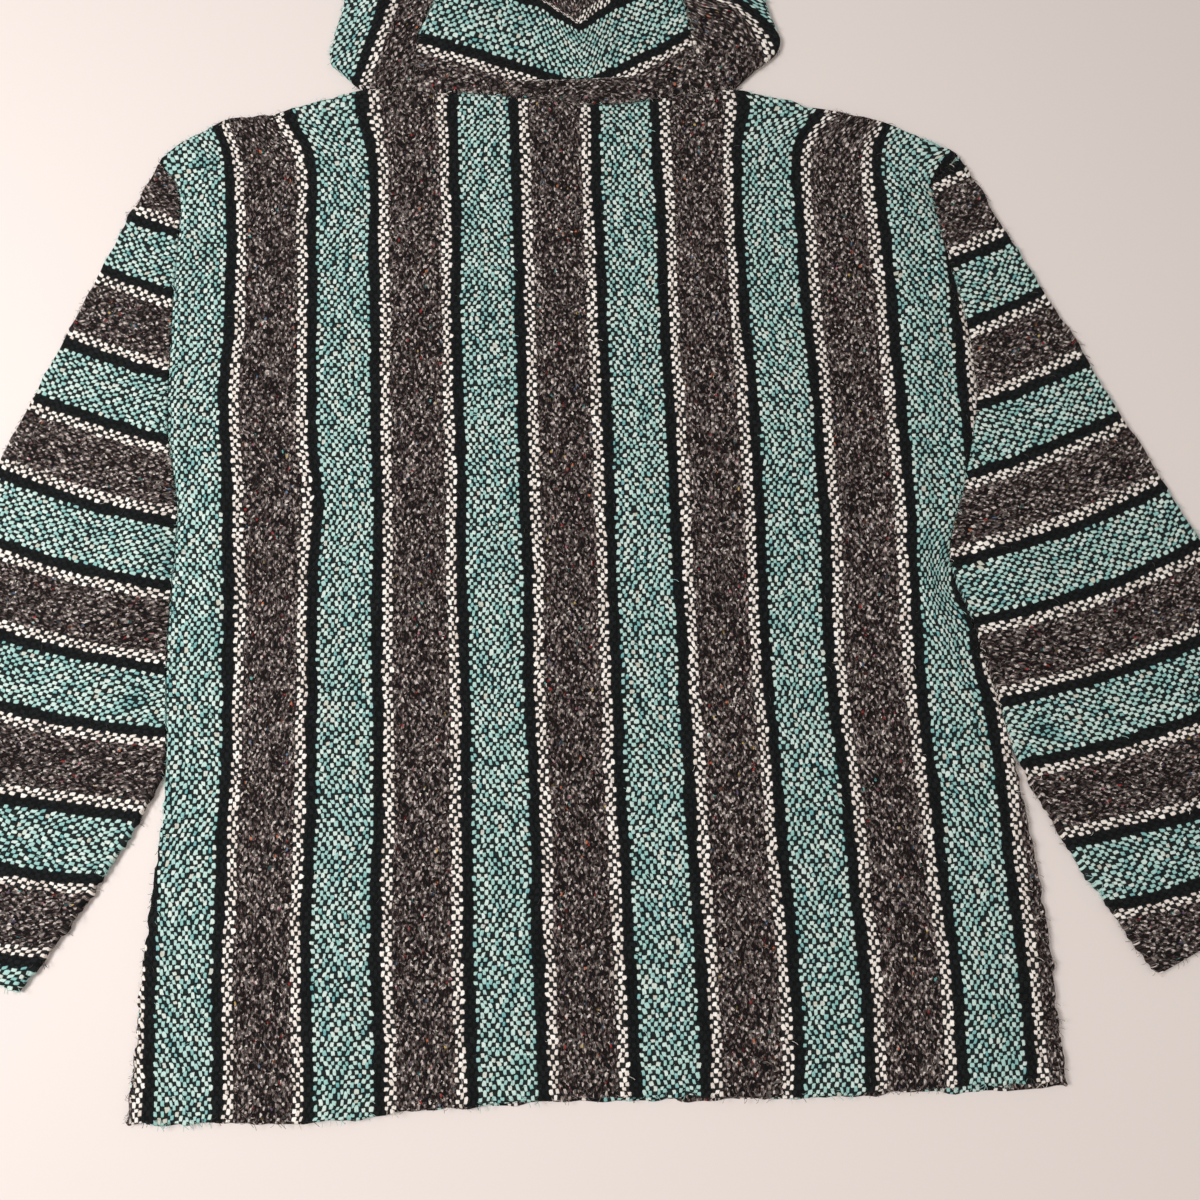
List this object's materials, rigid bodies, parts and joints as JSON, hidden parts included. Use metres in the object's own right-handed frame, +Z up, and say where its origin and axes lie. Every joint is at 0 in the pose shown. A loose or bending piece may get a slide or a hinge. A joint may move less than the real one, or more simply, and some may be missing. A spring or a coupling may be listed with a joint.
{
  "type": "baja hoodie",
  "caption": "Striped handwoven baja hoodie laid flat with its back up, the hood lying above the neck and the sleeves angled down at the sides.",
  "frame": {"origin": "on the table under the middle of the garment's box", "axes": "+X to the right across the back, +Y from the hem towards the hood, +Z up out of the back"},
  "size_m": [1.074, 1.038, 0.0099],
  "materials": {
    "body_cloth": "thick plain weave of teal, black, cream and flecked brown stripes, with a fuzzy nap",
    "sleeve_cloth": "the same striped cloth, with the stripes round the arm",
    "hood_cloth": "the same striped cloth, with the stripes across the hood's middle and up its sides"
  },
  "bodies": {
    "root": {"front_panel": "body_cloth", "back_panel": "body_cloth", "sleeve_left": "sleeve_cloth", "sleeve_right": "sleeve_cloth", "hood_centre": "hood_cloth", "hood_side_left": "hood_cloth", "hood_side_right": "hood_cloth"}
  },
  "joints": []
}
